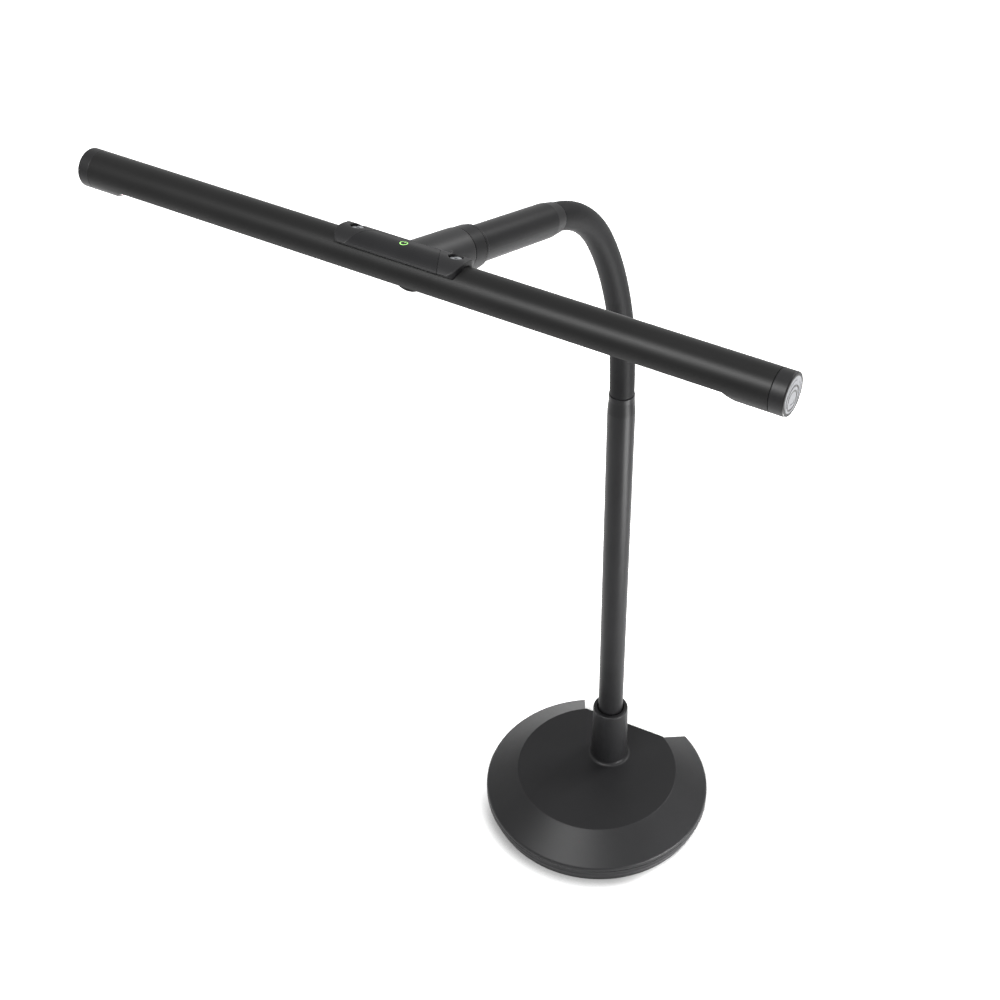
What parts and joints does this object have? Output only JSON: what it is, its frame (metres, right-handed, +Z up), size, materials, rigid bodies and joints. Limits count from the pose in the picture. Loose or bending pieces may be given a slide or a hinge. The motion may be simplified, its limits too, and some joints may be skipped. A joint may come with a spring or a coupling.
{
  "type": "piano lamp",
  "caption": "Free-standing piano lamp: a long light bar on a swivel head, carried by a bendable neck and a pole on a weighted round base.",
  "frame": {"origin": "middle of the round base, on the surface that the foot pad rests on", "axes": "+Z up along the pole, +X along the light bar, -Y forward, the way the lamp reaches over the keyboard"},
  "size_m": [0.4952, 0.3595, 0.751],
  "materials": {
    "foot_rubber": "matte",
    "moulded_shell": "fine moulded texture",
    "ballast_iron": "coarse",
    "zinc_steel": "zinc plated",
    "board": "solder mask",
    "components": "moulded",
    "brass": "turned",
    "inlet_plastic": "moulded",
    "pole_coat": "satin black powder coat",
    "lead_jacket": "matte",
    "neck_rubber": "matte silicone",
    "nylon": "moulded",
    "touch_film": "fine satin",
    "icon_ink": "printed",
    "screw_chrome": "plated",
    "bar_coat": "satin black anodised",
    "spreader_aluminium": "extruded",
    "light_board": "white solder mask",
    "light_sources": "encapsulated",
    "opal_diffuser": "opal",
    "badge_metal": "turned"
  },
  "bodies": {
    "base": {"foot_pad": "foot_rubber", "base_tray": "moulded_shell", "ballast_plate": "ballast_iron", "base_cover": "moulded_shell", "base_screws": "zinc_steel", "driver_board": "board", "driver_parts": "components", "driver_spacers": "brass", "driver_screws": "zinc_steel", "dc_inlet": "inlet_plastic", "pole_bolt": "zinc_steel", "pole_washer": "zinc_steel", "pole_plug": "zinc_steel", "pole_tube": "pole_coat", "collar_bush": "inlet_plastic", "pole_lead": "lead_jacket", "neck_ferrule_lower": "zinc_steel", "neck_hose_1": "neck_rubber", "neck_core_1": "zinc_steel", "neck_lead_1": "lead_jacket"},
    "neck_2": {"neck_hose_2": "neck_rubber", "neck_core_2": "zinc_steel", "neck_lead_2": "lead_jacket"},
    "neck_3": {"neck_hose_3": "neck_rubber", "neck_core_3": "zinc_steel", "neck_lead_3": "lead_jacket"},
    "neck_4": {"neck_hose_4": "neck_rubber", "neck_core_4": "zinc_steel", "neck_lead_4": "lead_jacket"},
    "neck_5": {"neck_hose_5": "neck_rubber", "neck_core_5": "zinc_steel", "neck_lead_5": "lead_jacket"},
    "arm": {"neck_hose_6": "neck_rubber", "neck_core_6": "zinc_steel", "neck_lead_6": "lead_jacket", "neck_ferrule_upper": "zinc_steel", "arm_sleeve": "pole_coat", "swivel_ring": "pole_coat", "swivel_spindle": "zinc_steel", "swivel_nut": "brass", "spring_washer": "zinc_steel", "thrust_washer": "nylon", "stop_pin": "zinc_steel", "arm_lead": "lead_jacket"},
    "head": {"friction_washer": "nylon", "head_housing": "moulded_shell", "touch_panel": "touch_film", "touch_icon": "icon_ink", "touch_board": "board", "saddle_screws": "screw_chrome", "lamp_tube": "bar_coat", "heat_spreader": "spreader_aluminium", "led_board": "light_board", "led_chips": "light_sources", "diffuser": "opal_diffuser", "end_cap_left": "moulded_shell", "end_cap_right": "moulded_shell", "end_badge_left": "badge_metal", "end_badge_right": "badge_metal"}
  },
  "joints": [
    {"name": "neck_bend_1", "type": "hinge", "parent": "base", "child": "neck_2", "pos_m": [0, 0.02103, 0.51004], "axis": [1, 0, 0], "range_deg": [-20, 20]},
    {"name": "neck_sway_2", "type": "hinge", "parent": "neck_2", "child": "neck_3", "pos_m": [0, 0.01375, 0.55197], "axis": [0, 0.9686, 0.2487], "range_deg": [-20, 20]},
    {"name": "neck_bend_3", "type": "hinge", "parent": "neck_3", "child": "neck_4", "pos_m": [0, 0.00042, 0.59239], "axis": [1, 0, 0], "range_deg": [-20, 20]},
    {"name": "neck_sway_4", "type": "hinge", "parent": "neck_4", "child": "neck_5", "pos_m": [0, -0.01877, 0.63038], "axis": [0, 0.8526, 0.5225], "range_deg": [-20, 20]},
    {"name": "neck_bend_5", "type": "hinge", "parent": "neck_5", "child": "arm", "pos_m": [0, -0.04669, 0.66227], "axis": [1, 0, 0], "range_deg": [-20, 20]},
    {"name": "head_swivel", "type": "hinge", "parent": "arm", "child": "head", "pos_m": [0, -0.25157, 0.73447], "axis": [0, 0.9548, -0.2974], "range_deg": [-90, 90]}
  ]
}
